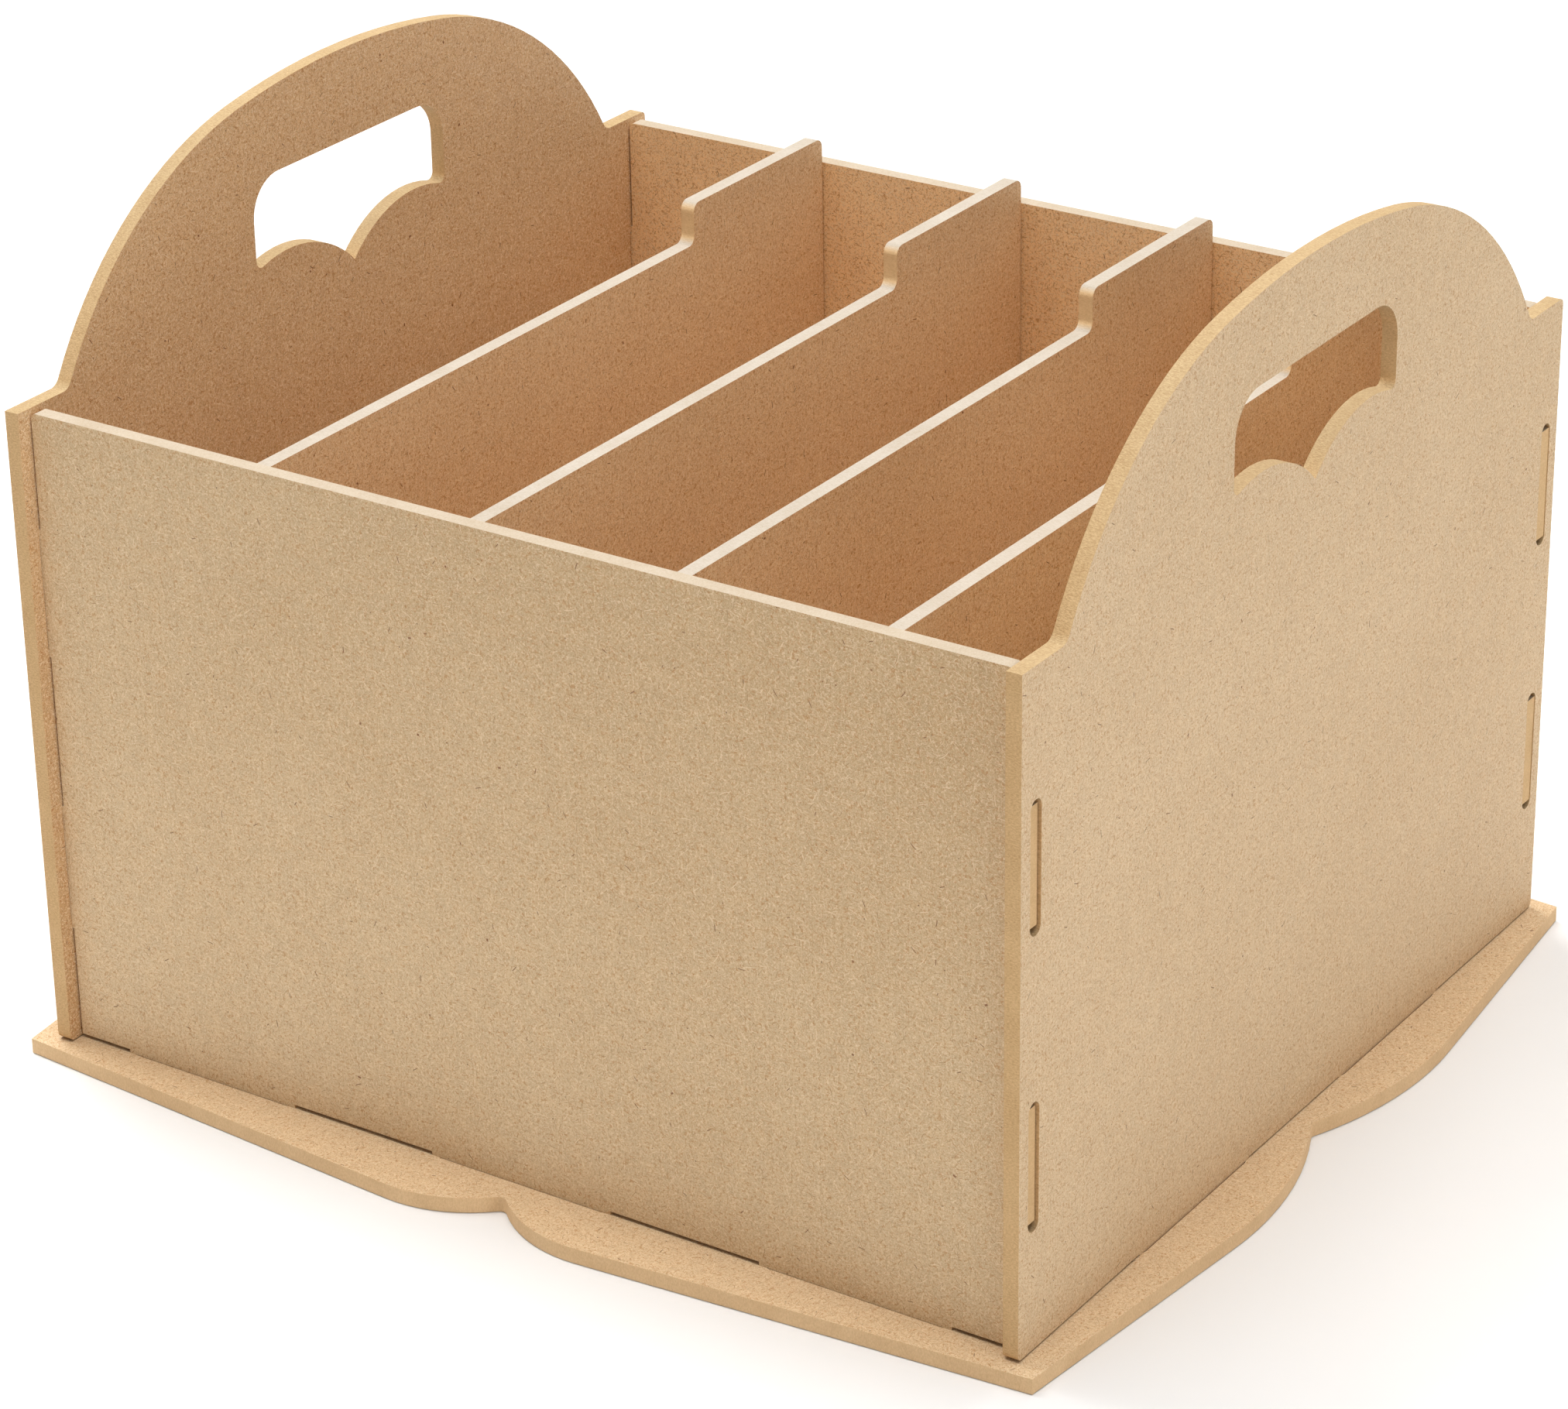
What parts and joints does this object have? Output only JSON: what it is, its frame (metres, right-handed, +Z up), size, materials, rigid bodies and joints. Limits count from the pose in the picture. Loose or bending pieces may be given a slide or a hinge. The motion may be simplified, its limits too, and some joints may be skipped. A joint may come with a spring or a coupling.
{
  "type": "paint rack organizer",
  "caption": "Slotted MDF board caddy with domed end handles, a wavy base and lift-out dividers, for paints and hobby tools.",
  "frame": {"origin": "centre of the base plate on the surface that the caddy stands on", "axes": "+Z up, -Y to the front wall, +X along the front wall to the right side panel"},
  "size_m": [0.3112, 0.2858, 0.229],
  "materials": {
    "mdf": "matte"
  },
  "bodies": {
    "root": {"base_plate": "mdf", "left_side_panel": "mdf", "right_side_panel": "mdf", "front_wall": "mdf", "back_wall": "mdf"},
    "loose_divider_1": {"divider_1": "mdf"},
    "loose_divider_2": {"divider_2": "mdf"},
    "loose_divider_3": {"divider_3": "mdf"},
    "loose_divider_4": {"divider_4": "mdf"}
  },
  "joints": [
    {"name": "divider_1_lift", "type": "slide", "parent": "root", "child": "loose_divider_1", "axis": [0, 0, 1], "range_m": [0, 0.18]},
    {"name": "divider_2_lift", "type": "slide", "parent": "root", "child": "loose_divider_2", "axis": [0, 0, 1], "range_m": [0, 0.18]},
    {"name": "divider_3_lift", "type": "slide", "parent": "root", "child": "loose_divider_3", "axis": [0, 0, 1], "range_m": [0, 0.18]},
    {"name": "divider_4_lift", "type": "slide", "parent": "root", "child": "loose_divider_4", "axis": [0, 0, 1], "range_m": [0, 0.18]}
  ]
}
